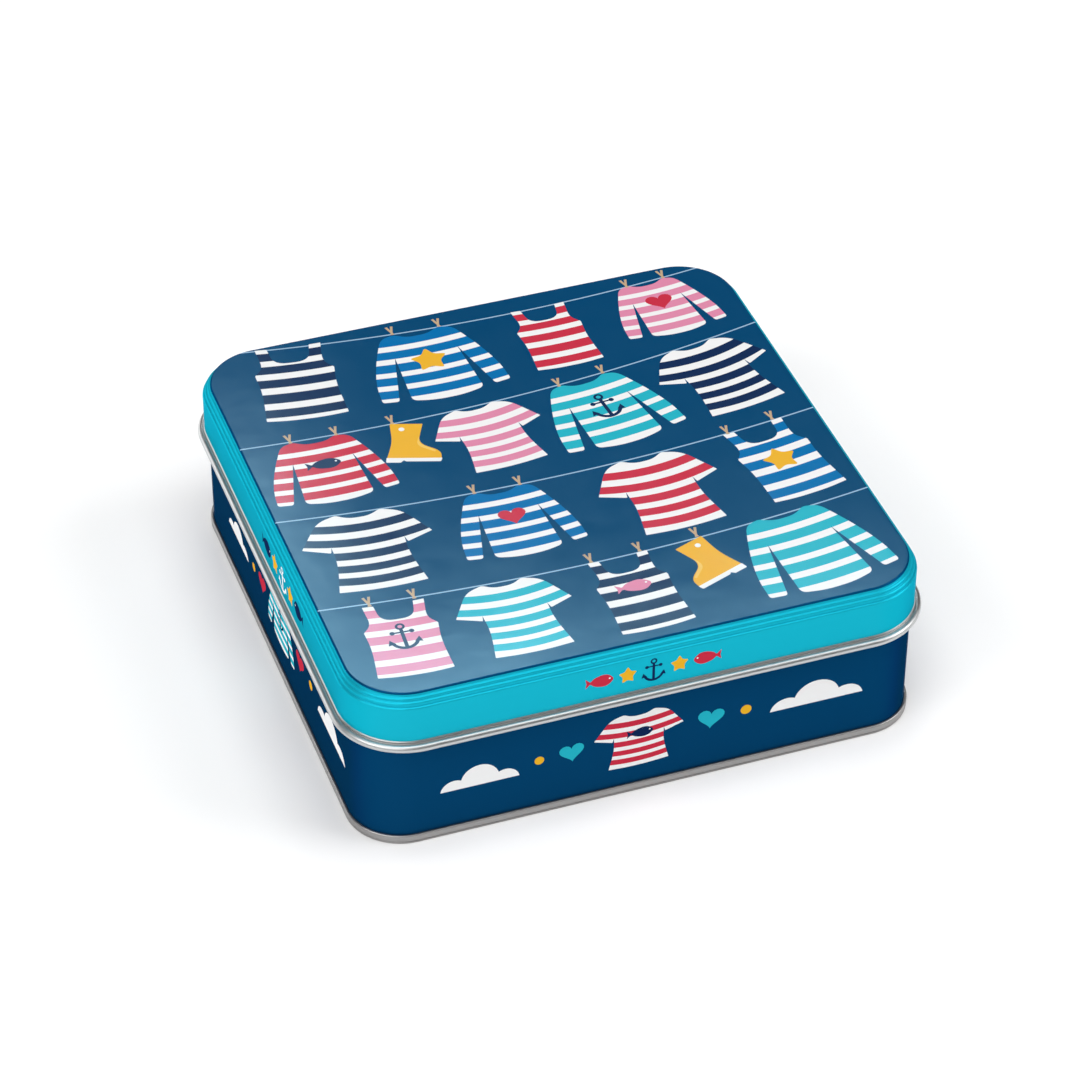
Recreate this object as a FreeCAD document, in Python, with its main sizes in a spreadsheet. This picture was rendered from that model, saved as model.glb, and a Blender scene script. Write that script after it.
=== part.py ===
import FreeCAD, Part
import math
import os

import Sketcher

# A square slip-lid tin in three pieces of tinplate: lid, body wall and base plate.
# Millimetres, +Z up. The origin is the centre of the footprint, on the floor.

DIMENSIONS = {
    # whole tin
    "total_height": 48.5,
    "tinplate": 0.25,
    # lid: half sizes are counted inwards from the skirt, levels down from the top
    "lid_half": 77.5,
    "lid_corner": 17.5,
    "panel_inset": 2.2,
    "ledge_inset": 1.35,
    "ledge_drop": 1.1,
    "bead_inset": 0.6,
    "bead_drop": 2.0,
    "skirt_drop": 3.2,
    "step_round": 0.45,
    "hem_drop": 15.5,
    "hem_radius": 1.05,
    # body wall
    "wall_half": 76.0,
    "wall_corner": 14.0,
    "rim_drop": 3.3,
    "rim_radius": 1.0,
    "lock_half": 2.5,
    "lock_depth": 0.5,
    # foot seam
    "seam_height": 2.6,
    "seam_gap": 0.03,
    "seam_round": 0.35,
    "body_hook_top": 2.0,
    "base_hook_end": 0.8,
    # base plate
    "plate_height": 3.15,
    "plate_raise": 0.7,
    "plate_margin": 8.0,
    "plate_round": 0.6,
}

V = FreeCAD.Vector
QUARTER_TURN = math.pi / 2
NEAR = 1e-4

doc = FreeCAD.newDocument("CookieTin")


def dimension_sheet():
    """The spreadsheet that drives every size: one alias to a row."""
    sheet = doc.addObject("Spreadsheet::Sheet", "Dims")
    for row, (alias, value) in enumerate(DIMENSIONS.items(), start=1):
        sheet.set(f"A{row}", alias)
        sheet.set(f"B{row}", str(value))
        sheet.setAlias(f"B{row}", alias)
    doc.recompute()
    return sheet


SHEET = dimension_sheet()


def bound(expression):
    """The expression with each alias written as a reference to the sheet."""
    words = expression.split()
    return " ".join(f"Dims.{word}" if word in DIMENSIONS else word for word in words)


def number(expression):
    """The value of a sum whose terms are aliases, plain numbers or products of them."""
    total = 0.0
    term = 1.0
    for word in expression.split() + ["+"]:
        if word in ("+", "-"):
            total += term
            term = 1.0 if word == "+" else -1.0
        elif word != "*":
            term *= DIMENSIONS[word] if word in DIMENSIONS else float(word)
    return total


# --- building blocks -----------------------------------------------------------------


def new_body(label):
    body = doc.addObject("PartDesign::Body", label)
    body.Label = label
    return body


def new_sketch(body, name, role, level="0"):
    """A sketch on one of the body's own origin planes, lifted by level."""
    plane = next(f for f in body.Origin.OriginFeatures if f.Role == role)
    sketch = body.newObject("Sketcher::SketchObject", name)
    sketch.AttachmentSupport = [(plane, "")]
    sketch.MapMode = "FlatFace"
    sketch.setExpression("AttachmentOffset.Base.z", bound(level))
    return sketch


def hold(sketch, kind, *args):
    """A dimension whose last argument is an expression on the sheet."""
    *where, expression = args
    index = sketch.addConstraint(Sketcher.Constraint(kind, *where, number(expression)))
    sketch.setExpression(f"Constraints[{index}]", bound(expression))


def add_rounded_square(sketch, half, corner, open_at_x_axis=False):
    """Four lines and four corner arcs about the origin, counter-clockwise from the right side.

    With open_at_x_axis the right side is two lines, so that the loop starts on the X axis."""
    h = number(half)
    r = number(corner)
    c = h - r
    start = 0.0 if open_at_x_axis else -c
    ends = [
        (V(h, start, 0), V(h, c, 0)),
        (V(c, h, 0), V(-c, h, 0)),
        (V(-h, c, 0), V(-h, -c, 0)),
        (V(-c, -h, 0), V(c, -h, 0)),
    ]
    centres = [V(c, c, 0), V(-c, c, 0), V(-c, -c, 0), V(c, -c, 0)]
    lines = [sketch.addGeometry(Part.LineSegment(a, b)) for a, b in ends]
    arcs = []
    for turn, centre in enumerate(centres):
        circle = Part.Circle(centre, V(0, 0, 1), r)
        arc = Part.ArcOfCircle(circle, turn * QUARTER_TURN, (turn + 1) * QUARTER_TURN)
        arcs.append(sketch.addGeometry(arc))
    after = lines[1:] + lines[:1]
    if open_at_x_axis:
        closing = sketch.addGeometry(Part.LineSegment(V(h, -c, 0), V(h, 0, 0)))
        after[3] = closing
        sketch.addConstraint(Sketcher.Constraint("Coincident", closing, 2, lines[0], 1))
        sketch.addConstraint(Sketcher.Constraint("PointOnObject", lines[0], 1, -1))
        sketch.addConstraint(Sketcher.Constraint("Vertical", closing))
    for line, arc, following in zip(lines, arcs, after):
        sketch.addConstraint(Sketcher.Constraint("Tangent", line, 2, arc, 1))
        sketch.addConstraint(Sketcher.Constraint("Tangent", arc, 2, following, 1))
    for arc in arcs[1:]:
        sketch.addConstraint(Sketcher.Constraint("Equal", arcs[0], arc))
    if not open_at_x_axis:
        sketch.addConstraint(Sketcher.Constraint("Vertical", lines[0]))
    for side in (1, 3):
        sketch.addConstraint(Sketcher.Constraint("Horizontal", lines[side]))
    hold(sketch, "Radius", arcs[0], corner)
    hold(sketch, "DistanceX", -1, 1, lines[0], 2, half)
    hold(sketch, "DistanceY", -1, 1, lines[1], 1, half)
    hold(sketch, "DistanceX", lines[2], 1, -1, 1, half)
    hold(sketch, "DistanceY", lines[3], 1, -1, 1, half)


def pad_square(body, name, loops, length, level="0"):
    """A pad of one rounded square, or of the ring between two."""
    sketch = new_sketch(body, f"{name}_outline", "XY_Plane", level)
    for half, corner in loops:
        add_rounded_square(sketch, half, corner)
    pad = body.newObject("PartDesign::Pad", name)
    pad.Profile = sketch
    pad.setExpression("Length", bound(length))
    doc.recompute()
    return pad


def add_staircase(sketch, corners):
    """A closed outline whose sides run level and upright in turn, through (x, z) expressions."""
    spots = [V(number(x), number(z), 0) for x, z in corners]
    following = spots[1:] + spots[:1]
    lines = [sketch.addGeometry(Part.LineSegment(a, b)) for a, b in zip(spots, following)]
    for index, line in enumerate(lines):
        after = lines[(index + 1) % len(lines)]
        sketch.addConstraint(Sketcher.Constraint("Coincident", line, 2, after, 1))
        x, z = corners[index]
        if x == corners[(index + 1) % len(corners)][0]:
            sketch.addConstraint(Sketcher.Constraint("Vertical", line))
            hold(sketch, "DistanceX", -1, 1, line, 1, x)
        else:
            sketch.addConstraint(Sketcher.Constraint("Horizontal", line))
            hold(sketch, "DistanceY", -1, 1, line, 1, z)


def add_roll(sketch, centre_x, centre_z, radius, start_deg, end_deg):
    """A sheet rolled round a centre: two arcs one tinplate apart, closed by a cap at each end."""
    centre = V(number(centre_x), number(centre_z), 0)
    angles = (math.radians(start_deg), math.radians(end_deg))
    inside = f"{radius} - tinplate"
    arcs = []
    for arc_radius in (radius, inside):
        circle = Part.Circle(centre, V(0, 0, 1), number(arc_radius))
        arcs.append(sketch.addGeometry(Part.ArcOfCircle(circle, *angles)))
    outer, inner = arcs
    for tip, angle in enumerate(angles, start=1):
        ends = (sketch.getPoint(outer, tip), sketch.getPoint(inner, tip))
        cap = sketch.addGeometry(Part.LineSegment(*ends))
        sketch.addConstraint(Sketcher.Constraint("Coincident", cap, 1, outer, tip))
        sketch.addConstraint(Sketcher.Constraint("Coincident", cap, 2, inner, tip))
        inward = math.remainder(angle + math.pi, 2 * math.pi)
        sketch.addConstraint(Sketcher.Constraint("Angle", cap, inward))
    sketch.addConstraint(Sketcher.Constraint("Coincident", outer, 3, inner, 3))
    hold(sketch, "Radius", outer, radius)
    hold(sketch, "Radius", inner, inside)
    hold(sketch, "DistanceX", -1, 1, outer, 3, centre_x)
    hold(sketch, "DistanceY", -1, 1, outer, 3, centre_z)


def sweep_round(body, name, section, half, corner):
    """A pipe that carries a section sketch once round a rounded square."""
    spine = new_sketch(body, f"{name}_path", "XY_Plane")
    add_rounded_square(spine, half, corner, open_at_x_axis=True)
    pipe = body.newObject("PartDesign::AdditivePipe", name)
    pipe.Profile = section
    pipe.Spine = (spine, [])
    pipe.Mode = "Binormal"
    pipe.Binormal = V(0, 0, 1)
    doc.recompute()
    return pipe


def edges_at(feature, level, half=None):
    """Names of the edges that lie flat at a height, or at a height on one rounded square."""
    z = number(level)
    names = []
    for index, edge in enumerate(feature.Shape.Edges, start=1):
        box = edge.BoundBox
        flat = abs(box.ZMin - z) < NEAR and abs(box.ZMax - z) < NEAR
        if not flat:
            continue
        if half is None or reaches(edge, number(half)):
            names.append(f"Edge{index}")
    return names


def reaches(edge, half):
    """Whether an edge lies on the rounded square of a half size: its side or its corner."""
    middle = edge.valueAt((edge.FirstParameter + edge.LastParameter) / 2)
    ends = [vertex.Point for vertex in edge.Vertexes]
    return any(abs(max(abs(p.x), abs(p.y)) - half) < NEAR for p in ends + [middle])


def round_edges(body, name, feature, radius, *rings):
    """A fillet on the rings of edges named by (level, half) expressions."""
    fillet = body.newObject("PartDesign::Fillet", name)
    fillet.Base = (feature, [edge for ring in rings for edge in edges_at(feature, *ring)])
    fillet.setExpression("Radius", bound(radius))
    doc.recompute()
    return fillet


def hollow(body, name, feature, open_level):
    """A tinplate shell under the outside of a block, open at the faces on one level."""
    z = number(open_level)
    faces = []
    for index, face in enumerate(feature.Shape.Faces, start=1):
        box = face.BoundBox
        if abs(box.ZMin - z) < NEAR and abs(box.ZMax - z) < NEAR:
            faces.append(f"Face{index}")
    shell = body.newObject("PartDesign::Thickness", name)
    shell.Base = (feature, faces)
    shell.setExpression("Value", bound("tinplate"))
    shell.Reversed = True
    doc.recompute()
    return shell


# --- the three pieces ----------------------------------------------------------------


def build_lid():
    """Drawn from one sheet: panel, two small steps, skirt, and a hem rolled outwards."""
    body = new_body("lid")
    foot = "total_height - hem_drop"
    steps = [
        ("skirt", "lid_half", "lid_corner", "hem_drop - skirt_drop", foot),
        ("bead", "lid_half - bead_inset", "lid_corner - bead_inset",
         "skirt_drop - bead_drop", "total_height - skirt_drop"),
        ("ledge", "lid_half - ledge_inset", "lid_corner - ledge_inset",
         "bead_drop - ledge_drop", "total_height - bead_drop"),
        ("panel", "lid_half - panel_inset", "lid_corner - panel_inset",
         "ledge_drop", "total_height - ledge_drop"),
    ]
    for name, half, corner, rise, level in steps:
        block = pad_square(body, name, [(half, corner)], rise, level)
    rings = [(f"{level} + {rise}", half) for _, half, _, rise, level in steps]
    rounded = round_edges(body, "step_rounding", block, "step_round", *rings)
    hollow(body, "sheet_metal", rounded, foot)
    section = new_sketch(body, "hem_section", "XZ_Plane")
    add_roll(section, "lid_half - tinplate + hem_radius", foot, "hem_radius", 180, 480)
    sweep_round(body, "hem", section, "lid_half", "lid_corner")
    return body


def build_body_wall():
    """One sheet bent round: rim rolled inwards, lock seam at the back, hook in the foot seam."""
    body = new_body("body_wall")
    inner_half = "wall_half - tinplate"
    inner_corner = "wall_corner - tinplate"
    rim_centre = "total_height - rim_drop - rim_radius"
    foot = "tinplate + seam_gap"
    pad_square(body, "wall", [("wall_half", "wall_corner"), (inner_half, inner_corner)],
               "total_height - rim_drop - rim_radius - tinplate - seam_gap", foot)

    section = new_sketch(body, "rim_section", "XZ_Plane")
    add_roll(section, "wall_half - rim_radius", rim_centre, "rim_radius", 0, 300)
    sweep_round(body, "rim", section, "wall_half", "wall_corner")

    hook_outside = "wall_half + 2 * tinplate + 2 * seam_gap"
    section = new_sketch(body, "hook_section", "XZ_Plane")
    add_staircase(section, [
        ("wall_half", foot),
        (hook_outside, foot),
        (hook_outside, "body_hook_top"),
        (f"{hook_outside} - tinplate", "body_hook_top"),
        (f"{hook_outside} - tinplate", f"{foot} + tinplate"),
        ("wall_half", f"{foot} + tinplate"),
    ])
    sweep_round(body, "hook", section, "wall_half", "wall_corner")

    lock = new_sketch(body, "lock_outline", "XZ_Plane")
    add_staircase(lock, [
        ("0 - lock_half", "plate_height + plate_raise"),
        ("lock_half", "plate_height + plate_raise"),
        ("lock_half", f"{rim_centre} - rim_radius"),
        ("0 - lock_half", f"{rim_centre} - rim_radius"),
    ])
    lock.setExpression("AttachmentOffset.Base.z", bound("lock_depth + tinplate - wall_half"))
    fold = body.newObject("PartDesign::Pad", "lock_seam")
    fold.Profile = lock
    fold.Reversed = True
    fold.setExpression("Length", bound("lock_depth"))
    doc.recompute()
    return body


def build_base_plate():
    """Pressed from one sheet: raised panel, skirt inside the wall, cover and hook outside it."""
    body = new_body("base_plate")
    half = "wall_half - tinplate - seam_gap"
    corner = "wall_corner - tinplate - seam_gap"
    pad_square(body, "plate", [(half, corner)], "plate_height")
    block = pad_square(body, "raised_panel",
                       [(f"{half} - plate_margin", f"{corner} - plate_margin")],
                       "plate_raise", "plate_height")
    rings = [
        ("plate_height", half),
        ("plate_height + plate_raise", f"{half} - plate_margin"),
    ]
    rounded = round_edges(body, "plate_rounding", block, "plate_round", *rings)
    hollow(body, "sheet_metal", rounded, "0")

    cover_inside = "wall_half + 2 * tinplate + 3 * seam_gap"
    cover_outside = f"{cover_inside} + tinplate"
    hook_outside = "wall_half + seam_gap + tinplate"
    section = new_sketch(body, "seam_section", "XZ_Plane")
    add_staircase(section, [
        (f"{half} - tinplate", "0"),
        (cover_outside, "0"),
        (cover_outside, "seam_height"),
        ("wall_half + seam_gap", "seam_height"),
        ("wall_half + seam_gap", "base_hook_end"),
        (hook_outside, "base_hook_end"),
        (hook_outside, "seam_height - tinplate"),
        (cover_inside, "seam_height - tinplate"),
        (cover_inside, "tinplate"),
        (f"{half} - tinplate", "tinplate"),
    ])
    seam = sweep_round(body, "seam", section, "wall_half", "wall_corner")
    rings = [("0", f"{half} - tinplate"), ("0", cover_outside), ("seam_height", cover_outside)]
    round_edges(body, "seam_rounding", seam, "seam_round", *rings)
    return body


def check(body):
    """Stops the run if any step of a piece failed."""
    for step in body.Group + [body]:
        if "Invalid" in step.State or "Error" in step.State:
            raise RuntimeError(f"{body.Label}: {step.Name} is {step.State}")
    if body.Shape.isNull() or not body.Shape.isValid() or len(body.Shape.Solids) != 1:
        raise RuntimeError(f"{body.Label} is not one sound solid")


pieces = [build_lid(), build_body_wall(), build_base_plate()]
doc.recompute()
os.makedirs("parts", exist_ok=True)
for piece in pieces:
    check(piece)
    piece.Shape.exportStep(os.path.join("parts", f"{piece.Label}.step"))
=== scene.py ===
"""The cookie tin as it looks: a printed lid, a printed wall and a base of bare tinplate.

The tin is drawn in millimetres, and each mesh is scaled to metres as it is built. Lamps, camera, floor
and the depths of bumps are in metres. Sides of the tin are drawn in (u, z): u runs left to right for
whoever looks at the side, and the middle of a side is at u = 0.
"""

import math

import bpy
from mathutils import Matrix, Vector
from mathutils.geometry import delaunay_2d_cdt


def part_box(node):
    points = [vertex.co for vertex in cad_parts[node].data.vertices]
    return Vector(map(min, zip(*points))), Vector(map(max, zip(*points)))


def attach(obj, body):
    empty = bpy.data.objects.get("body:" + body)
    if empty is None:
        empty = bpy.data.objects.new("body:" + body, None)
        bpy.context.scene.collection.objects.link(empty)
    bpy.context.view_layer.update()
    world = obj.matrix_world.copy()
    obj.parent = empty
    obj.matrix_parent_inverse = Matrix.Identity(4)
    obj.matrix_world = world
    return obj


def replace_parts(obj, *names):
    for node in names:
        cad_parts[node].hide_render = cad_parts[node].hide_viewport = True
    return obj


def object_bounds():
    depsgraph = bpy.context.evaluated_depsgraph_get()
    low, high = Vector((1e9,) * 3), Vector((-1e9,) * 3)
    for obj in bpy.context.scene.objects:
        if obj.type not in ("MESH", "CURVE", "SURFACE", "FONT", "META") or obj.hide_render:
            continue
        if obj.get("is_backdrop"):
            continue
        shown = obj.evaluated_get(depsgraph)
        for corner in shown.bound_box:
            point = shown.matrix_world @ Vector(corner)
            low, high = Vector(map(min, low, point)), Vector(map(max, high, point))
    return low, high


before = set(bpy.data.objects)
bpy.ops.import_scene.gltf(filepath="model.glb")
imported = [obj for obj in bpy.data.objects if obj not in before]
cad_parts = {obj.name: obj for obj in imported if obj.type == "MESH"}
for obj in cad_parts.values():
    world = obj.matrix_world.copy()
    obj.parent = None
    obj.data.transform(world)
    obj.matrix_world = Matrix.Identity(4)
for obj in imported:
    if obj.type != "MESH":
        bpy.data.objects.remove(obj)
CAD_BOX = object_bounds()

MM = 0.001

# --- sizes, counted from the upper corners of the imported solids' boxes -----------------

lid_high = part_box("lid")[1] / MM
wall_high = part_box("body_wall")[1] / MM
base_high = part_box("base_plate")[1] / MM

SHEET = 0.25

# The lid. Widths are measured from the tin's middle, and the corners round off about LID_CENTRE.
LID_CORNER = 17.5
HEM_REACH = 1.85
HEM_RADIUS = 1.05
STEP_ROUND = 0.45
INNER_ROUND = STEP_ROUND - 0.2
TOP = lid_high.z
HEM = lid_high.x
SKIRT = HEM - HEM_REACH
LID_CENTRE = SKIRT - LID_CORNER
PANEL = SKIRT - 2.2
LINING_EDGE = PANEL - SHEET - 1.0
LEDGE = SKIRT - 1.35
BEAD = SKIRT - 0.6
LEDGE_Z = TOP - 1.1
BEAD_Z = TOP - 2.0
SHOULDER_FOOT = TOP - 3.2
SKIRT_TOP = TOP - 4.2
SKIRT_FOOT = TOP - 13.4
HEM_Z = TOP - 15.5

# The wall and the seam that joins it to the base
WALL_CORNER = 14.0
SEAM_REACH = 0.84
SEAM_GAP = 0.03
SEAM_TOP = 2.6
BODY_HOOK_TOP = 2.0
BASE_HOOK_FOOT = 0.8
RIM_RADIUS = 1.0
SEAM = base_high.x
WALL = SEAM - SEAM_REACH
WALL_CENTRE = WALL - WALL_CORNER
RIM_Z = wall_high.z - RIM_RADIUS
PRINT_FOOT = 2.9
PRINT_TOP = RIM_Z - 1.2
LINING_FOOT = 3.2
LINING_TOP = RIM_Z - 1.2

CORNER_STEPS = 28
SMOOTH_BEND = math.cos(math.radians(40))
WELD_DIGITS = 4

# --- colours ---------------------------------------------------------------------------

# sRGB, 0 to 255
INKS = {
    "navy": (5, 70, 113),
    # The wall's navy is a darker copy of the lid's navy: a painted shade on the upright sides.
    "wall_navy": (8, 64, 104),
    "teal": (25, 181, 205),
    "white": (249, 249, 249),
    "midnight": (19, 42, 84),
    "blue": (6, 112, 177),
    "red": (206, 50, 72),
    "pink": (229, 142, 174),
    "aqua": (40, 182, 201),
    "yellow": (243, 184, 46),
    "lemon": (248, 206, 100),
    "wood": (200, 172, 138),
    "line": (162, 196, 224),
}

# On the top panel each ink is painted darker, to this much of its sRGB values: a painted shade that
# offsets the stronger light falling on the top.
PANEL_PAINTED_SHADE = 0.925


def linear(rgb):
    """A 0 to 255 sRGB colour as the linear colour a shader takes."""
    def decoded(c):
        c /= 255
        return c / 12.92 if c <= 0.04045 else ((c + 0.055) / 1.055) ** 2.4
    return (*map(decoded, rgb), 1.0)


# --- outlines in the plane -------------------------------------------------------------


def smooth(corners, steps=6):
    """A closed outline from (x, y, cut) corners. Each is rounded off from cut before it to cut after."""
    points = []
    for i, (x, y, cut) in enumerate(corners):
        here = Vector((x, y))
        before = Vector(corners[i - 1][:2]) - here
        after = Vector(corners[(i + 1) % len(corners)][:2]) - here
        start = here + before.normalized() * min(cut, before.length * 0.5)
        end = here + after.normalized() * min(cut, after.length * 0.5)
        for k in range(steps + 1):
            t = k / steps
            points.append(start * (1 - t) ** 2 + here * (2 * t * (1 - t)) + end * t ** 2)
    return [(p.x, p.y) for p in points]


def mirrored(half):
    """The corners of a symmetric outline from those of its right half, listed top to bottom."""
    return half + [(-x, y, cut) for x, y, cut in reversed(half)]


def placed(points, x, y, tilt=0.0, wide=1.0, tall=1.0):
    """An outline scaled, turned by tilt degrees and moved to (x, y)."""
    c, s = math.cos(math.radians(tilt)), math.sin(math.radians(tilt))
    return [(x + c * wide * u - s * tall * v, y + s * wide * u + c * tall * v) for u, v in points]


def disc(x, y, radius, steps=20):
    """A circle about (x, y)."""
    turn = 2 * math.pi / steps
    return [(x + radius * math.cos(k * turn), y + radius * math.sin(k * turn)) for k in range(steps)]


def arc_band(x, y, inside, outside, start, end, steps=14):
    """The stretch of a ring between two angles in degrees."""
    angles = [math.radians(start + (end - start) * k / steps) for k in range(steps + 1)]
    rim = [(x + outside * math.cos(a), y + outside * math.sin(a)) for a in angles]
    return rim + [(x + inside * math.cos(a), y + inside * math.sin(a)) for a in reversed(angles)]


def dome(x, y, radius, steps=18):
    """The part above height 0 of a disc about (x, y)."""
    start = -math.asin(y / radius)
    angles = [start + (math.pi - 2 * start) * k / steps for k in range(steps + 1)]
    return [(x + radius * math.cos(a), y + radius * math.sin(a)) for a in angles]


def star(radius, waist=0.54, blunt=0.2):
    """Five spikes. The waist between them and the rounding of corners are parts of the radius."""
    spikes = []
    for k in range(10):
        a = math.radians(90 + 36 * k)
        r = radius * (waist if k % 2 else 1.0)
        spikes.append((r * math.cos(a), r * math.sin(a), blunt * radius))
    return smooth(spikes, 4)


def heart(width, steps=30):
    """Two round lobes over a point, as wide as asked."""
    points = []
    for k in range(steps):
        t = 2 * math.pi * k / steps
        height = 13 * math.cos(t) - 5 * math.cos(2 * t) - 2 * math.cos(3 * t) - math.cos(4 * t)
        points.append((width / 2 * math.sin(t) ** 3, width / 34 * height))
    return points


# Garments hang from (0, 0), midway between their shoulders. They, the boot and the fish are lists
# of (x, y, cut) corners for smooth().
TSHIRT = mirrored([
    (2.6, -2.0, 2.0), (5.8, 0.0, 0.8), (11.0, -1.8, 3.5), (16.8, -12.0, 0.3), (9.9, -14.9, 0.4),
    (9.4, -12.6, 0.3), (9.2, -20.0, 6.0), (11.3, -31.0, 0.3), (4.0, -31.7, 3.5),
])
LONG_SLEEVES = mirrored([
    (3.0, -2.0, 2.2), (6.3, 0.1, 0.9), (10.3, -0.8, 2.6), (14.6, -11.0, 6.0), (17.5, -21.0, 6.0),
    (18.1, -28.9, 0.9), (13.6, -29.6, 0.9), (8.9, -10.0, 0.2), (10.1, -30.2, 1.7), (4.0, -31.8, 3.5),
])
TANK_TOP = mirrored([
    (4.2, -6.4, 3.4), (5.0, -0.1, 0.2), (7.8, 0.1, 0.2), (7.0, -7.2, 2.6), (9.3, -10.0, 0.4),
    (8.6, -17.0, 6.0), (9.5, -28.0, 0.3), (4.0, -28.7, 3.0),
])

# kind: (outline, sag of the stripes, how far below the shoulders each stripe starts and ends)
STRIPES = {
    "tshirt": (TSHIRT, 0.010, [(4.6, 7.8), (10.5, 13.6), (16.0, 19.1), (21.4, 24.3), (26.4, 29.4)]),
    "long": (LONG_SLEEVES, 0.005, [(-2.0, 5.1), (7.5, 11.0), (13.4, 17.2), (19.4, 23.0), (25.3, 28.9)]),
    "tank": (TANK_TOP, 0.005, [(1.8, 4.9), (7.1, 10.1), (12.4, 15.6), (18.1, 21.7), (24.1, 27.2)]),
}

BOOT = [
    (-4.4, 0.0, 0.3), (4.4, 0.0, 0.3), (3.2, -8.5, 3.0), (9.4, -11.8, 2.6), (9.6, -15.4, 0.6),
    (-4.9, -15.4, 0.4), (-3.6, -8.0, 3.0),
]
SOLE = [
    (-5.0, -14.9, 0.2), (9.7, -14.9, 0.2), (9.4, -16.4, 0.4), (0.2, -16.4, 0.2), (-0.4, -15.9, 0.2),
    (-1.2, -16.9, 0.2), (-5.1, -16.9, 0.4),
]
SHINE = [(3.4, -5.5, 0.2), (3.6, -8.6, 1.5), (8.2, -11.6, 0.4), (7.8, -12.2, 0.3), (2.8, -9.4, 2.0)]
FISH = [
    (5.0, 0.0, 1.3), (2.3, 2.45, 2.6), (-1.9, 1.6, 1.7), (-3.3, 0.32, 0.4), (-5.0, 1.75, 0.25),
    (-4.6, 0.0, 0.3), (-5.0, -1.75, 0.25), (-3.3, -0.32, 0.4), (-1.9, -1.6, 1.7), (2.3, -2.45, 2.6),
]

# The peg's leg is plain points. The anchor and the cloud are made of several outlines, and the
# cloud's width and height are those of its domes together.
PEG_LEG = [(-1.15, 2.0), (-0.45, 2.15), (0.55, -1.7), (0.0, -1.8)]
ANCHOR = [
    arc_band(0, 4.2, 0.65, 1.35, 0, 180),
    arc_band(0, 4.2, 0.65, 1.35, 180, 360),
    [(-0.5, 3.0), (-0.55, -5.0), (0.55, -5.0), (0.5, 3.0)],
    [(-2.7, 1.5), (-2.7, 2.1), (2.7, 2.1), (2.7, 1.5)],
    disc(-2.7, 1.8, 0.75, 12),
    disc(2.7, 1.8, 0.75, 12),
    arc_band(0, -1.1, 3.15, 4.2, 205, 335),
    [(-4.8, -3.1), (-4.1, -0.8), (-2.6, -2.6)],
    [(4.8, -3.1), (4.1, -0.8), (2.6, -2.6)],
]
CLOUD = [dome(-6.75, -0.6, 3.8), dome(6.75, -0.6, 3.8), dome(0.0, 1.45, 5.15)]
CLOUD_WIDTH = 21.0
CLOUD_HEIGHT = 6.6


class Artwork(list):
    """Layers of print, the later on top: (outline, ink, number of the layer it is cut to or None)."""

    def draw(self, outline, ink, host=None):
        self.append((outline, ink, host))

    def garment(self, kind, ink, x, y, tilt, wide, tall):
        """A striped garment hung from (x, y), midway between its shoulders."""
        outline, sag, bands = STRIPES[kind]
        host = len(self)
        self.draw(placed(smooth(outline), x, y, tilt, wide, tall), "white")
        # Stripes reach past the sides of any garment and are cut to it.
        reach, steps = 20.0, 16
        across = [reach * (2 * k / steps - 1) for k in range(steps + 1)]
        for upper, lower in bands:
            stripe = [(u, sag * u * u - upper) for u in across]
            stripe += [(u, sag * u * u - lower) for u in reversed(across)]
            self.draw(placed(stripe, x, y, tilt, wide, tall), ink, host)

    def boot(self, x, y, tilt, way):
        """A boot hung by the middle of its top. It points right where way is 1, left where it is -1."""
        self.draw(placed(smooth(BOOT), x, y, tilt, way), "yellow")
        self.draw(placed(smooth(SHINE), x, y, tilt, way), "lemon")
        self.draw(placed(smooth(SOLE), x, y, tilt, way), "white")
        self.draw(placed(disc(-1.2 * way, -2.4, 0.8), x, y, tilt), "white")

    def fish(self, ink, eye, x, y, tilt=0.0, way=1.0, size=1.0, tall=1.0):
        """A fish that swims right where way is 1, left where it is -1."""
        self.draw(placed(smooth(FISH), x, y, tilt, way * size, tall * size), ink)
        self.draw(placed(disc(3.3 * way * size, 0.45 * size, 0.32 * size, 10), x, y, tilt), eye)

    def anchor(self, ink, x, y, tilt=0.0, size=1.0):
        for part in ANCHOR:
            self.draw(placed(part, x, y, tilt, size, size), ink)

    def peg(self, x, y):
        """A wooden clothes peg: two legs that cross."""
        self.draw(placed(PEG_LEG, x, y), "wood")
        self.draw(placed(PEG_LEG, x, y, wide=-1.0), "wood")

    def cloud(self, left, right, base, top):
        """Three domes on a straight foot, fitted between the four edges."""
        wide, tall = (right - left) / CLOUD_WIDTH, (top - base) / CLOUD_HEIGHT
        for lobe in CLOUD:
            self.draw(placed(lobe, (left + right) / 2, base, 0, wide, tall), "white")

    def washing_line(self, level, slope, bow, start, end, width=0.45, steps=24):
        """A sagging line from x = start to x = end: y = level + slope x + bow x^2."""
        xs = [start + (end - start) * k / steps for k in range(steps + 1)]
        ys = [level + slope * x + bow * x * x for x in xs]
        above = [(x, y + width / 2) for x, y in zip(xs, ys)]
        self.draw(above + [(x, y - width / 2) for x, y in reversed(list(zip(xs, ys)))], "line")


# --- the print on the lid and the wall -------------------------------------------------

# (level, slope, bow, start, end)
LINES = [
    (68.3, -0.029, 0.00116, -64.0, 72.6),
    (31.4, 0.061, 0.00109, -75.2, 75.2),
    (-5.3, 0.003, 0.00100, -75.2, 75.2),
    (-42.2, 0.0075, 0.00094, -75.2, 75.2),
]

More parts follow.
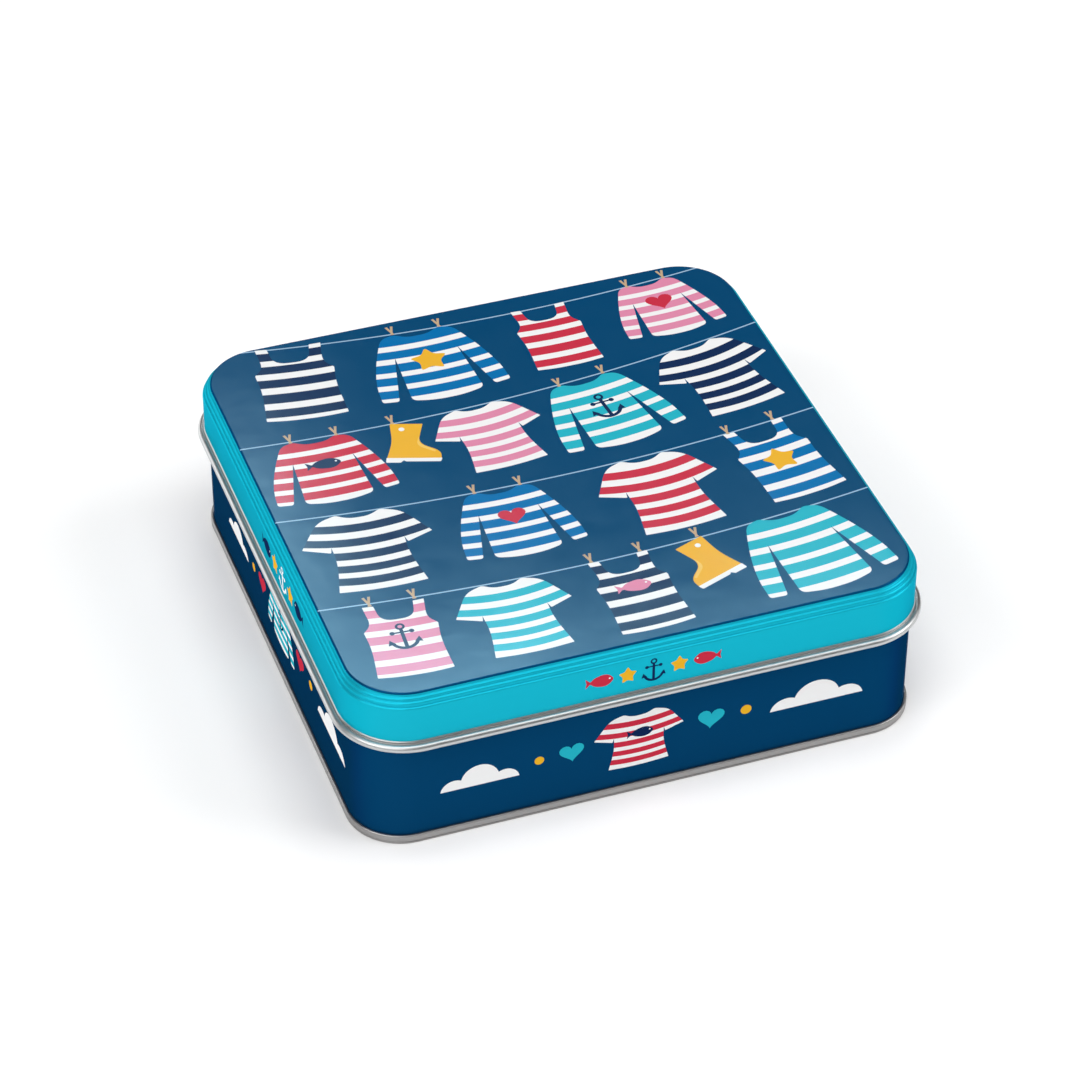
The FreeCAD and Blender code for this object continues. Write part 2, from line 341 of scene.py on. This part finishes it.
# (kind, ink, x, y, tilt, wide, tall)
GARMENTS = [
    ("tank", "midnight", -50.2, 73.3, -6.8, 1.17, 1.16),
    ("long", "blue", -15.0, 68.8, -0.5, 1.0, 1.0),
    ("tank", "red", 20.5, 68.5, 0.0, 1.0, 1.0),
    ("long", "pink", 53.0, 70.0, 3.0, 0.81, 0.81),
    ("long", "red", -55.5, 31.0, -1.5, 0.91, 0.87),
    ("tshirt", "pink", -10.9, 31.0, 3.5, 0.90, 0.885),
    ("long", "aqua", 20.75, 32.6, 6.5, 0.97, 0.96),
    ("tshirt", "midnight", 54.5, 38.0, 9.0, 1.0, 1.0),
    ("tshirt", "midnight", -54.0, -2.6, -4.5, 1.02, 1.0),
    ("long", "blue", -16.5, -5.3, -1.0, 0.90, 0.89),
    ("tshirt", "red", 23.7, -4.7, 2.0, 1.0, 1.0),
    ("tank", "blue", 56.5, -1.9, 7.5, 1.13, 1.12),
    ("tank", "pink", -56.5, -40.8, -5.5, 1.02, 0.98),
    ("tshirt", "aqua", -28.0, -41.7, -1.2, 0.91, 0.90),
    ("tank", "midnight", 3.3, -42.0, 1.0, 1.04, 1.04),
    ("long", "aqua", 49.5, -39.0, 6.0, 1.03, 1.02),
]

# (x, y)
PEGS = [
    (-21.3, 71.0), (-8.0, 70.5), (47.5, 71.0), (58.7, 72.0), (-61.8, 33.0), (-49.3, 32.5),
    (-33.7, 32.3), (14.0, 33.5), (27.2, 35.3), (-22.7, -3.5), (-10.2, -3.8), (49.2, -1.3),
    (62.8, 0.8), (-62.3, -38.4), (-50.7, -39.0), (-3.7, -40.3), (9.6, -40.0), (25.6, -39.2),
]


def lid_panel_art():
    """Washing lines hung with garments and boots, as seen from above."""
    art = Artwork()
    for line in LINES:
        art.washing_line(*line)
    for garment in GARMENTS:
        art.garment(*garment)
    art.boot(-30.3, 29.4, -18.4, 1)
    art.boot(22.5, -42.5, 20.5, -1)
    art.draw(placed(star(5.5), -15.3, 55.0, -3), "yellow")
    art.draw(placed(star(5.2), 58.4, -17.5, 8), "yellow")
    art.draw(placed(heart(7.8), 53.8, 60.2, 2), "red")
    art.draw(placed(heart(7.5), -16.3, -17.0, -1), "red")
    art.fish("midnight", "white", -56.0, 19.8, -1.5)
    art.fish("pink", "white", 3.4, -54.3, 1)
    art.anchor("midnight", 22.6, 19.6, 5)
    art.anchor("midnight", -57.9, -53.9, -4, 0.93)
    for x, y in PEGS:
        art.peg(x, y)
    return art


# right, back, left and front: (middle of the row of signs, facing)
SKIRT_SIGNS = [(-6.0, "end"), (0.0, "front"), (13.0, "end"), (0.0, "front")]


def skirt_art(middle, facing):
    """Five small signs in a row on one side of the lid's skirt."""
    end = facing == "end"
    dark, bright = ("midnight", "white") if end else ("red", "midnight")
    size, tall = (0.84, 1.35) if end else (0.78, 1.15)
    art = Artwork()
    for way in (-1, 1):
        art.fish(dark, "white", middle + way * 14.3, 40.5, 0, -way, size, tall)
        art.draw(placed(star(3.3 * size), middle + way * 6.9, 40.4, 0, 1.0, 0.5 + 0.5 * tall), "yellow")
    art.anchor(bright, middle, 40.3, 0, 0.87 * size)
    return art


# clouds: (left, right, base, top), hearts: (u, z, width, tilt), dots: (u, z, radius)
WALL_SIGNS = {
    "front": {
        "clouds": [(-56.0, -35.0, 14.0, 20.6), (33.0, 58.7, 15.3, 22.6)],
        "hearts": [(-21.0, 17.7, 6.7, 4.0), (16.7, 18.3, 7.3, -4.0)],
        "dots": [(-29.7, 17.3, 1.3), (26.3, 18.3, 1.5)],
    },
    "end": {
        "clouds": [(-46.5, -27.5, 14.5, 20.2), (36.5, 60.0, 15.0, 22.0)],
        "hearts": [(-13.8, 18.0, 6.7, 4.0), (21.0, 18.5, 6.9, -4.0)],
        "dots": [(-22.0, 17.2, 1.3), (30.5, 18.3, 1.4)],
    },
}


def wall_art(facing):
    """Clouds, dots, hearts and a garment on one side of the wall. The seamed back has no garment."""
    art = Artwork()
    signs = WALL_SIGNS["end" if facing == "end" else "front"]
    for cloud in signs["clouds"]:
        art.cloud(*cloud)
    for x, z, width, tilt in signs["hearts"]:
        art.draw(placed(heart(width), x, z, tilt), "red" if facing == "end" else "aqua")
    for x, z, radius in signs["dots"]:
        art.draw(disc(x, z, radius), "yellow")
    if facing == "front":
        art.garment("tshirt", "red", -3.0, 26.0, 0.5, 0.72, 0.565)
        art.fish("midnight", "white", -2.5, 19.0, 1, 1, 0.75)
    elif facing == "end":
        art.garment("long", "aqua", 3.0, 25.3, 0, 0.66, 0.50)
        art.anchor("midnight", 3.0, 18.6, 0, 0.6)
    return art


# --- meshes ----------------------------------------------------------------------------


class Skin:
    """A mesh in the making: welded points, faces with an ink each, and a normal at each corner."""

    def __init__(self):
        self.index = {}
        self.points = []
        self.faces = []
        self.inks = []
        self.normals = []

    def add(self, corners, ink):
        """A face from (point, normal) corners. Corners that weld together drop out."""
        ring, turned = [], []
        for point, normal in corners:
            key = tuple(round(c, WELD_DIGITS) for c in point)
            if key not in self.index:
                self.index[key] = len(self.points)
                self.points.append(point)
            number = self.index[key]
            if number not in ring:
                ring.append(number)
                turned.append(normal)
        if len(ring) > 2:
            self.faces.append(ring)
            self.inks.append(ink)
            self.normals += turned

    def build(self, name, materials):
        """The finished piece, with one material slot for each ink it uses."""
        mesh = bpy.data.meshes.new(name)
        mesh.from_pydata([[c * MM for c in p] for p in self.points], [], self.faces)
        used = sorted(set(self.inks))
        for ink in used:
            mesh.materials.append(materials[ink])
        for polygon, ink in zip(mesh.polygons, self.inks):
            polygon.material_index = used.index(ink)
            polygon.use_smooth = True
        mesh.normals_split_custom_set(self.normals)
        piece = bpy.data.objects.new(name, mesh)
        bpy.context.scene.collection.objects.link(piece)
        return piece


def stations(centre):
    """Stops round a rounded square: corner centre and outward direction, anticlockwise."""
    stops = []
    for quarter, (sx, sy) in enumerate([(1, 1), (-1, 1), (-1, -1), (1, -1)]):
        for step in range(CORNER_STEPS + 1):
            a = math.radians(90 * (quarter + step / CORNER_STEPS))
            stops.append((sx * centre, sy * centre, math.cos(a), math.sin(a)))
    return stops


def spot(stop, half, z):
    """The point at a stop, on the rounded square that is 2 x half wide, at height z."""
    cx, cy, dx, dy = stop
    reach = half - abs(cx)
    return (cx + reach * dx, cy + reach * dy, z)


def rounded(corners, steps=5):
    """A profile from (half, z, radius) corners, each corner a true arc; the ends stay as given."""
    path = []
    for i, (x, z, radius) in enumerate(corners):
        here = Vector((x, z))
        if radius == 0 or i in (0, len(corners) - 1):
            path.append((x, z))
            continue
        before = (Vector(corners[i - 1][:2]) - here).normalized()
        after = (Vector(corners[i + 1][:2]) - here).normalized()
        half_angle = before.angle(after) / 2
        centre = here + (before + after).normalized() * (radius / math.sin(half_angle))
        start = here + before * (radius / math.tan(half_angle)) - centre
        end = here + after * (radius / math.tan(half_angle)) - centre
        turn = start.angle_signed(end)
        for k in range(steps + 1):
            c, s = math.cos(-turn * k / steps), math.sin(-turn * k / steps)
            path.append((centre.x + c * start.x - s * start.y, centre.y + s * start.x + c * start.y))
    return path


def curl(x, z, radius, start, end, steps):
    """Points of an arc between two angles in degrees."""
    angles = [math.radians(start + (end - start) * k / steps) for k in range(steps + 1)]
    return [(x + radius * math.cos(a), z + radius * math.sin(a)) for a in angles]


def profile_normals(path, closed):
    """For each segment, the normals (outward, up) at its two ends. Bends under 40 degrees are smooth."""
    segments = len(path) if closed else len(path) - 1
    along = [Vector(path[(i + 1) % len(path)]) - Vector(path[i]) for i in range(segments)]
    flat = [Vector((-a.y, a.x)).normalized() for a in along]
    pairs = []
    for i in range(segments):
        ends = []
        for other in (i - 1, i + 1):
            known = closed or 0 <= other < segments
            other %= segments
            if known and flat[i].dot(flat[other]) > SMOOTH_BEND:
                blend = flat[i] * along[i].length + flat[other] * along[other].length
                ends.append(blend.normalized())
            else:
                ends.append(flat[i])
        pairs.append(ends)
    return pairs


def sweep(skin, path, inks, centre, closed=False, panels=()):
    """Carries a profile round the tin. Segments listed in panels leave the four straight sides open."""
    stops = stations(centre)
    for i, (upper, lower) in enumerate(profile_normals(path, closed)):
        (x0, z0), (x1, z1) = path[i], path[(i + 1) % len(path)]
        for j, stop in enumerate(stops):
            following = stops[(j + 1) % len(stops)]
            straight = (j + 1) % (CORNER_STEPS + 1) == 0
            if straight and i in panels:
                continue
            corners = []
            for at, x, z, n in ((stop, x0, z0, upper), (stop, x1, z1, lower),
                                (following, x1, z1, lower), (following, x0, z0, upper)):
                corners.append((spot(at, x, z), (n.x * at[2], n.x * at[3], n.y)))
            skin.add(corners, inks(i))


def flat_cover(skin, half, z, centre, up, ink):
    """A flat rounded square that closes a swept profile. It faces up (1) or down (-1)."""
    ring = [spot(stop, half, z) for stop in stations(centre)]
    if up < 0:
        ring.reverse()
    skin.add([(p, (0, 0, up)) for p in ring], ink)


def area(points):
    """The area inside an outline, below 0 where it runs clockwise."""
    return sum(a[0] * b[1] - b[0] * a[1] for a, b in zip(points, points[1:] + points[:1])) / 2


def inlay(skin, outline, creases, art, ground, place, finish=lambda middle: ""):
    """Fills an outline with triangles cut along its artwork, so that each ink has a sharp edge.

    Creases are closed loops the triangles also keep to. place(corner, middle) gives the point and the
    normal at a corner of the triangle about middle. The ink's name starts with finish(middle)."""
    spots, edges, faces = [], [], []
    for loop in creases:
        first = len(spots)
        spots += loop
        edges += [(first + k, first + (k + 1) % len(loop)) for k in range(len(loop))]
    for polygon in [outline] + [layer[0] for layer in art]:
        turned = polygon if area(polygon) > 0 else polygon[::-1]
        faces.append(list(range(len(spots), len(spots) + len(turned))))
        spots += turned
    inside_triangles, weld, with_origins = 1, 1e-5, True
    cut = delaunay_2d_cdt([Vector(p) for p in spots], edges, faces, inside_triangles, weld, with_origins)
    points, _, triangles, origins, _, covers = cut
    where = [spots[o[0]] if o else tuple(p) for p, o in zip(points, origins)]
    for triangle, cover in zip(triangles, covers):
        if 0 not in cover:
            continue
        layers = sorted(c - 1 for c in cover if c > 0)
        seen = [k for k in layers if art[k][2] is None or art[k][2] in layers]
        corners = [where[k] for k in triangle]
        if area(corners) < 0:
            corners.reverse()
        middle = [sum(axis) / 3 for axis in zip(*corners)]
        ink = art[seen[-1]][1] if seen else ground
        skin.add([place(corner, middle) for corner in corners], finish(middle) + ink)


def channel(half, floor, depth, low, high):
    """A narrow upright trough, or a ridge if its depth is below 0, with sloping flanks.

    It comes as a function for the depth and slope at a corner of a triangle, and two creases."""
    run = half - floor

    def within(u, z):
        return min(half - abs(u), z - low, high - z, run)

    def shape(corner, middle):
        flank = 0 < half - abs(middle[0]) < run and low < middle[1] < high
        slope = math.copysign(depth / run, -middle[0]) if flank else 0.0
        return depth * max(within(*corner), 0.0) / run, slope

    outer = [(-half, low), (half, low), (half, high), (-half, high)]
    inner = [(-floor, low + run), (floor, low + run), (floor, high - run), (-floor, high - run)]
    return shape, [outer, inner]


def side_panel(skin, side, centre, half, low, high, art, ground, fold=None, inside=False):
    """One straight side between two heights. Side is 0 right, 1 back, 2 left or 3 front."""
    out = [Vector((1, 0, 0)), Vector((0, 1, 0)), Vector((-1, 0, 0)), Vector((0, -1, 0))][side]
    normal = -out if inside else out
    along = Vector((-normal.y, normal.x, 0))
    shape, creases = fold or (lambda corner, middle: (0.0, 0.0), [])

    def place(corner, middle):
        sunk, slope = shape(corner, middle)
        point = out * half - normal * sunk + along * corner[0]
        return (point.x, point.y, corner[1]), tuple((normal + along * slope).normalized())

    outline = [(-centre, low), (centre, low), (centre, high), (-centre, high)]
    inlay(skin, outline, creases, art, ground, place)


# --- the lid ---------------------------------------------------------------------------


def panel_inset(x, y):
    """How far (x, y) lies inside the top panel's outline, and the way out from there."""
    corner = PANEL - LID_CENTRE
    qx, qy = abs(x) - LID_CENTRE, abs(y) - LID_CENTRE
    if qx > 0 and qy > 0:
        reach = math.hypot(qx, qy)
        return corner - reach, (math.copysign(qx / reach, x), math.copysign(qy / reach, y))
    if qx > qy:
        return PANEL - abs(x), (math.copysign(1, x), 0.0)
    return PANEL - abs(y), (0.0, math.copysign(1, y))


def on_panel(corner, middle):
    """The point and normal on the top panel, which is flat and rounded over at its edge."""
    x, y = corner
    inset, (ox, oy) = panel_inset(x, y)
    lean = min(max(1 - inset / STEP_ROUND, 0.0), 1.0)
    rise = math.sqrt(1 - lean * lean)
    return (x, y, TOP - STEP_ROUND * (1 - rise)), (ox * lean, oy * lean, rise)


def add_panel(skin):
    """The printed top panel. Its creases keep the triangles narrow where the edge rounds over."""
    bends = 5
    loops = []
    for k in range(bends + 1):
        inset = STEP_ROUND * (1 - math.cos(math.radians(90 * k / bends))) if k else 0.0
        loops.append([spot(stop, PANEL - inset, 0)[:2] for stop in stations(LID_CENTRE)])
    varnished = STEP_ROUND * 0.8
    inlay(skin, loops[0], loops[1:], lid_panel_art(), "navy", on_panel,
          lambda middle: "panel_" if panel_inset(*middle)[0] > varnished else "")


def lid_shoulder():
    """Down the outside, from the panel's edge over two small steps to the skirt."""
    return rounded([
        (PANEL, TOP - STEP_ROUND, 0),
        (PANEL, LEDGE_Z, 0.3),
        (LEDGE, LEDGE_Z, 0.5),
        (LEDGE, BEAD_Z, 0.2),
        (BEAD, BEAD_Z, 0.5),
        (BEAD, SHOULDER_FOOT, 0.1),
        (SKIRT, SHOULDER_FOOT, 0.48),
        (SKIRT, SKIRT_TOP, 0),
    ])


def lid_flare():
    """Where the skirt bends outward to meet its rolled hem."""
    return rounded([
        (SKIRT, SKIRT_FOOT, 0),
        (SKIRT, HEM_Z + 1.85, 0.3),
        (SKIRT + 0.26, HEM_Z + 1.5, 0.12),
        (SKIRT + 0.03, HEM_Z + 0.95, 0),
    ], 4)


def lid_lining():
    """Up the inside, from the hem over the steps to the flat underside of the panel."""
    return rounded([
        (SKIRT - SHEET, HEM_Z, 0),
        (SKIRT - SHEET, SHOULDER_FOOT - SHEET, INNER_ROUND),
        (BEAD - SHEET, SHOULDER_FOOT - SHEET, 0.15),
        (BEAD - SHEET, BEAD_Z - SHEET, INNER_ROUND),
        (LEDGE - SHEET, BEAD_Z - SHEET, 0.2),
        (LEDGE - SHEET, LEDGE_Z - SHEET, INNER_ROUND),
        (PANEL - SHEET, LEDGE_Z - SHEET, 0.2),
        (PANEL - SHEET, TOP - SHEET, INNER_ROUND),
        (LINING_EDGE, TOP - SHEET, 0),
    ])


def build_lid(materials):
    """One drawn sheet: the printed panel, shoulder and skirt, the hem, and the plain lining."""
    skin = Skin()
    add_panel(skin)
    shoulder = lid_shoulder()
    flare = lid_flare()
    roll = curl(SKIRT - SHEET + HEM_RADIUS, HEM_Z, HEM_RADIUS, 132, -180, 28)
    path = shoulder + flare + roll + lid_lining()[1:]
    # band is the segment with the signs. The print goes on below it, into the flare's first bend.
    band = len(shoulder) - 1
    printed = band + 5
    rolled = band + len(flare) + len(roll)
    # The rolled hem takes the darker hem tinplate, a painted shade.
    sweep(skin, path, lambda i: "teal" if i < printed else "hem" if i < rolled else "inside",
          LID_CENTRE, panels=(band,))
    flat_cover(skin, LINING_EDGE, TOP - SHEET, LID_CENTRE, -1, "inside")
    for side, signs in enumerate(SKIRT_SIGNS):
        side_panel(skin, side, LID_CENTRE, SKIRT, SKIRT_FOOT, SKIRT_TOP, skirt_art(*signs), "teal")
    piece = skin.build("lid_pressing", materials)
    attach(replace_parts(piece, "lid"), "lid")


# --- the body wall ---------------------------------------------------------------------


def build_wall(materials):
    """One sheet round the tin: the rolled rim, the printed sides, the seam's hook and the plain inside."""
    skin = Skin()
    foot = SHEET + SEAM_GAP
    hook = WALL + 2 * SHEET + 2 * SEAM_GAP
    rim = curl(WALL - RIM_RADIUS, RIM_Z, RIM_RADIUS, 0, 300, 26)
    rim_lining = curl(WALL - RIM_RADIUS, RIM_Z, RIM_RADIUS - SHEET, 300, 0, 20)
    outside = [
        (WALL, PRINT_TOP),
        (WALL, PRINT_FOOT),
        (WALL, foot + SHEET),
        (hook - SHEET, foot + SHEET),
        (hook - SHEET, BODY_HOOK_TOP),
        (hook, BODY_HOOK_TOP),
        (hook, foot),
    ]
    inside = [
        (WALL - SHEET, foot),
        (WALL - SHEET, LINING_FOOT),
        (WALL - SHEET, LINING_TOP),
    ]
    # One closed loop: both faces of the rolled rim, down the outside, round the hook, up the inside.
    path = rim_lining[::-1] + rim[::-1] + outside + inside
    # band is the segment with the signs, and the print goes one segment beyond it both ways.
    band = len(rim_lining) + len(rim)
    # The wall's printed ground is the darker navy copy, a painted shade on the sides.
    sweep(skin, path, lambda i: "wall_navy" if i in (band - 1, band, band + 1) else "inside",
          WALL_CENTRE, closed=True, panels=(band, len(path) - 2))
    groove = channel(half=0.32, floor=0.08, depth=0.14, low=PRINT_FOOT + 0.2, high=PRINT_TOP - 0.2)
    ridge = channel(half=2.5, floor=2.3, depth=-0.5, low=3.85, high=LINING_TOP - 0.1)
    for side, facing in enumerate(("end", "back", "end", "front")):
        back = facing == "back"
        side_panel(skin, side, WALL_CENTRE, WALL, PRINT_FOOT, PRINT_TOP, wall_art(facing), "wall_navy",
                   fold=groove if back else None)
        side_panel(skin, side, WALL_CENTRE, WALL - SHEET, LINING_FOOT, LINING_TOP, [], "inside",
                   fold=ridge if back else None, inside=True)
    piece = skin.build("body_wall_sheet", materials)
    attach(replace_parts(piece, "body_wall"), "tin")


# --- the base plate --------------------------------------------------------------------


def build_base(materials):
    """One pressed sheet: the raised panel, the chuck wall and the seam round the wall's hook."""
    skin = Skin()
    chuck = WALL - SHEET - SEAM_GAP
    cover = WALL + 2 * SHEET + 3 * SEAM_GAP
    under_chuck = chuck - SHEET
    outer = cover + SHEET
    raised = chuck - 8.0
    flat_edge = raised - 1.5
    plate = base_high.z - 0.7
    path = rounded([
        (flat_edge, base_high.z, 0),
        (raised, base_high.z, 0.6),
        (raised + 0.05, plate, 0.35),
        (chuck, plate, 0.6),
        (chuck, SHEET, 0.1),
        (cover, SHEET, 0.12),
        (cover, SEAM_TOP - SHEET, 0.1),
        (WALL + SEAM_GAP + SHEET, SEAM_TOP - SHEET, 0.06),
        (WALL + SEAM_GAP + SHEET, BASE_HOOK_FOOT, 0.08),
        (WALL + SEAM_GAP, BASE_HOOK_FOOT, 0.08),
        (WALL + SEAM_GAP, SEAM_TOP, 0.22),
        (outer, SEAM_TOP, 0.35),
        (outer, 0.96, 0.1),
        (outer - 0.16, 0.74, 0.06),
        (outer - 0.04, 0.52, 0.1),
        (outer - 0.04, 0.0, 0.34),
        (under_chuck, 0.0, 0.35),
        (under_chuck, plate - SHEET, 0.35),
        (raised - SHEET + 0.05, plate - SHEET, 0.6),
        (raised - SHEET, base_high.z - SHEET, 0.35),
        (flat_edge, base_high.z - SHEET, 0),
    ])
    # The seam round the foot, down to the face it stands on, is painted darker than the rest: a painted
    # shade where the tin stands on the floor.
    first = min(i for i, (half, z) in enumerate(path) if half > chuck + 0.01)
    last = max(i for i, (half, z) in enumerate(path) if z == 0.0)
    sweep(skin, path, lambda i: "seam" if first <= i <= last else "inside", WALL_CENTRE)
    flat_cover(skin, flat_edge, base_high.z, WALL_CENTRE, 1, "inside")
    flat_cover(skin, flat_edge, base_high.z - SHEET, WALL_CENTRE, -1, "inside")
    piece = skin.build("base_plate_pan", materials)
    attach(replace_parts(piece, "base_plate"), "tin")


# --- materials -------------------------------------------------------------------------


class Shader:
    """A Principled material and the few nodes that give it grain."""

    def __init__(self, name, colour, **sockets):
        self.material = bpy.data.materials.new(name)
        self.material.use_nodes = True
        self.tree = self.material.node_tree
        self.surface = self.tree.nodes["Principled BSDF"]
        self.surface.inputs["Base Color"].default_value = colour
        for socket, value in sockets.items():
            self.surface.inputs[socket.replace("_", " ")].default_value = value
        self.place = self.tree.nodes.new("ShaderNodeTexCoord").outputs["Object"]

    def noise(self, scale, detail, stretch=(1, 1, 1)):
        """Noise that is fixed to the piece. The scale counts spots per metre."""
        mapping = self.tree.nodes.new("ShaderNodeMapping")
        mapping.inputs["Scale"].default_value = stretch
        self.tree.links.new(self.place, mapping.inputs["Vector"])
        node = self.tree.nodes.new("ShaderNodeTexNoise")
        node.inputs["Scale"].default_value = scale
        node.inputs["Detail"].default_value = detail
        self.tree.links.new(mapping.outputs["Vector"], node.inputs["Vector"])
        return node.outputs["Fac"]

    def spread(self, value, low, high):
        """Noise stretched to run from low to high."""
        node = self.tree.nodes.new("ShaderNodeMapRange")
        node.inputs["From Min"].default_value = 0.3
        node.inputs["From Max"].default_value = 0.7
        node.inputs["To Min"].default_value = low
        node.inputs["To Max"].default_value = high
        self.tree.links.new(value, node.inputs["Value"])
        return node.outputs["Result"]

    def roughness(self, value):
        self.tree.links.new(value, self.surface.inputs["Roughness"])

    def relief(self, height, depth):
        """Adds a bump of a depth in metres on top of any before it."""
        node = self.tree.nodes.new("ShaderNodeBump")
        node.inputs["Strength"].default_value = 1.0
        node.inputs["Distance"].default_value = depth
        self.tree.links.new(height, node.inputs["Height"])
        before = self.surface.inputs["Normal"]
        if before.is_linked:
            self.tree.links.new(before.links[0].from_socket, node.inputs["Normal"])
        self.tree.links.new(node.outputs["Normal"], before)


def ink_material(name, rgb, metal):
    """Satin ink on the lid's skirt and the wall. Metal is how much of the tin's sheen it has."""
    shader = Shader(name, linear(rgb), Metallic=metal, Specular_IOR_Level=0.0)
    shader.surface.inputs["Specular Tint"].default_value = linear(rgb)
    shader.roughness(shader.spread(shader.noise(150, 2), 0.21, 0.26))
    shader.relief(shader.noise(28, 1), 0.00012)
    shader.relief(shader.noise(190, 1), 0.000006)
    return shader.material


def varnished_material(name, rgb):
    """Ink under the top panel's varnish, whose gloss has a blue tint."""
    shader = Shader(name, linear(rgb), Specular_Tint=(0.19, 0.75, 1.0, 1.0))
    shader.roughness(shader.spread(shader.noise(150, 2), 0.145, 0.175))
    shader.relief(shader.noise(28, 1), 0.0001)
    shader.relief(shader.noise(110, 2), 0.00004)
    return shader.material


def tinplate_material(name, tone):
    """Rolled tinplate, with a slightly uneven coat of tin and the soft waves of thin sheet."""
    shader = Shader(name, (*tone, 1.0), Metallic=1.0)
    shader.roughness(shader.spread(shader.noise(240, 3, (1, 3, 1)), 0.36, 0.44))
    shader.relief(shader.noise(30, 1), 0.0001)
    shader.relief(shader.noise(300, 1, (1, 2, 1)), 0.000005)
    return shader.material


# the grounds of the print, which let the tin shine through
METALLIC = {"navy": 0.35, "wall_navy": 0.35, "teal": 0.4}


def make_materials():
    """Each ink twice, satin and varnished, the varnished copy painted darker as a painted shade; and three
    tones of tinplate, the hem and seam tones painted darker as painted shade.
    """
    made = {}
    for name, rgb in INKS.items():
        metal = METALLIC.get(name, 0.0)
        made[name] = ink_material(f"satin_{name}", rgb, metal)
        # The varnished copy is painted darker than the satin one: painted shade for the brightly lit top.
        made[f"panel_{name}"] = varnished_material(f"varnished_{name}", [c * PANEL_PAINTED_SHADE for c in rgb])
    made["inside"] = tinplate_material("inside_tinplate", (0.62, 0.62, 0.61))
    # The hem's tinplate is painted a little darker than the inside: painted shade that tones down the
    # light on the rolled hem.
    made["hem"] = tinplate_material("hem_painted_shade_tinplate", (0.56, 0.57, 0.57))
    # The seam's tinplate is painted darker than the inside: painted shade at the foot, where the tin meets
    # the floor.
    made["seam"] = tinplate_material("seam_painted_shade_tinplate", (0.385, 0.375, 0.37))
    return made


# --- studio ----------------------------------------------------------------------------


def add_floor(reach=3.0):
    """A pale matt floor, 2 x reach wide."""
    mesh = bpy.data.meshes.new("floor")
    ring = [(-reach, -reach, 0), (reach, -reach, 0), (reach, reach, 0), (-reach, reach, 0)]
    mesh.from_pydata(ring, [], [(0, 1, 2, 3)])
    shader = Shader("pale_floor", (0.97, 0.97, 0.97, 1.0), Specular_IOR_Level=0.1)
    shader.roughness(shader.spread(shader.noise(40, 2), 0.75, 0.85))
    mesh.materials.append(shader.material)
    floor = bpy.data.objects.new("floor", mesh)
    bpy.context.scene.collection.objects.link(floor)
    floor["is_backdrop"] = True


def add_softbox(name, position, target, size, radiance):
    """A white rectangle of light that faces its target. Its power follows from its size and radiance."""
    light = bpy.data.lights.new(name, "AREA")
    light.shape = "RECTANGLE"
    light.size, light.size_y = size
    light.energy = radiance * math.pi * size[0] * size[1]
    softbox = bpy.data.objects.new(name, light)
    softbox.location = position
    softbox.rotation_mode = "QUATERNION"
    softbox.rotation_quaternion = (Vector(target) - Vector(position)).to_track_quat("-Z", "Y")
    bpy.context.scene.collection.objects.link(softbox)


def add_camera():
    """From above the front left, where the photo was taken from."""
    target = Vector((0.00725, 0.02788, 0.0))
    distance = 1.0739
    azimuth, elevation, roll = (math.radians(a) for a in (-19.63, 38.78, 0.27))
    back = Vector((
        math.sin(azimuth) * math.cos(elevation),
        -math.cos(azimuth) * math.cos(elevation),
        math.sin(elevation),
    ))
    aim = (-back).to_track_quat("-Z", "Y")
    camera = bpy.data.cameras.new("camera")
    camera.sensor_width = 36.0
    camera.lens = 129.34
    camera.clip_start = 0.05
    holder = bpy.data.objects.new("camera", camera)
    holder.rotation_mode = "QUATERNION"
    holder.rotation_quaternion = aim @ Matrix.Rotation(roll, 3, "Z").to_quaternion()
    holder.location = target + back * distance
    bpy.context.scene.collection.objects.link(holder)
    bpy.context.scene.camera = holder


# name: (position, (width, depth), radiance), all aimed at the middle of the tin's foot
SOFTBOXES = {
    "overhead": ((0.0, -0.1, 1.9), (1.6, 1.6), 2.55),
    "right": ((1.60, -0.55, 1.25), (1.4, 1.4), 3.7),
    "front": ((-1.02, -1.32, 1.29), (1.2, 1.5), 2.0),
    "left": ((-1.4, -0.4, 1.22), (0.8, 0.9), 4.5),
    "back_left": ((-1.1, 1.45, 0.42), (1.5, 0.7), 2.4),
}

# name: (x, y, width, depth, radiance) of small lamps that shine straight down. The panel mirrors
# them towards the camera, as a haze along its left and front edges.
HAZE_HEIGHT = 0.69
HAZE_LAMPS = {
    "haze_left": (0.10, 0.72, 0.08, 0.24, 8.0),
    "haze_front": (0.255, 0.575, 0.31, 0.05, 15.5),
    "haze_corner": (0.18, 0.63, 0.10, 0.06, 6.5),
}


def light_studio():
    """A dim white world, five softboxes and three haze lamps."""
    world = bpy.data.worlds.new("studio")
    world.use_nodes = True
    background = world.node_tree.nodes["Background"]
    background.inputs["Color"].default_value = (1.0, 1.0, 1.0, 1.0)
    background.inputs["Strength"].default_value = 0.02
    bpy.context.scene.world = world
    for name, (position, size, radiance) in SOFTBOXES.items():
        add_softbox(name, position, (0, 0, 0), size, radiance)
    for name, (x, y, width, depth, radiance) in HAZE_LAMPS.items():
        add_softbox(name, (x, y, HAZE_HEIGHT), (x, y, 0.0), (width, depth), radiance)
    bpy.context.scene.view_settings.view_transform = "Standard"


materials = make_materials()
build_lid(materials)
build_wall(materials)
build_base(materials)
add_floor()
add_camera()
light_studio()


def corners(box):
    return [list(corner) for corner in box]


{"cad": corners(CAD_BOX), "visual": corners(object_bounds())}
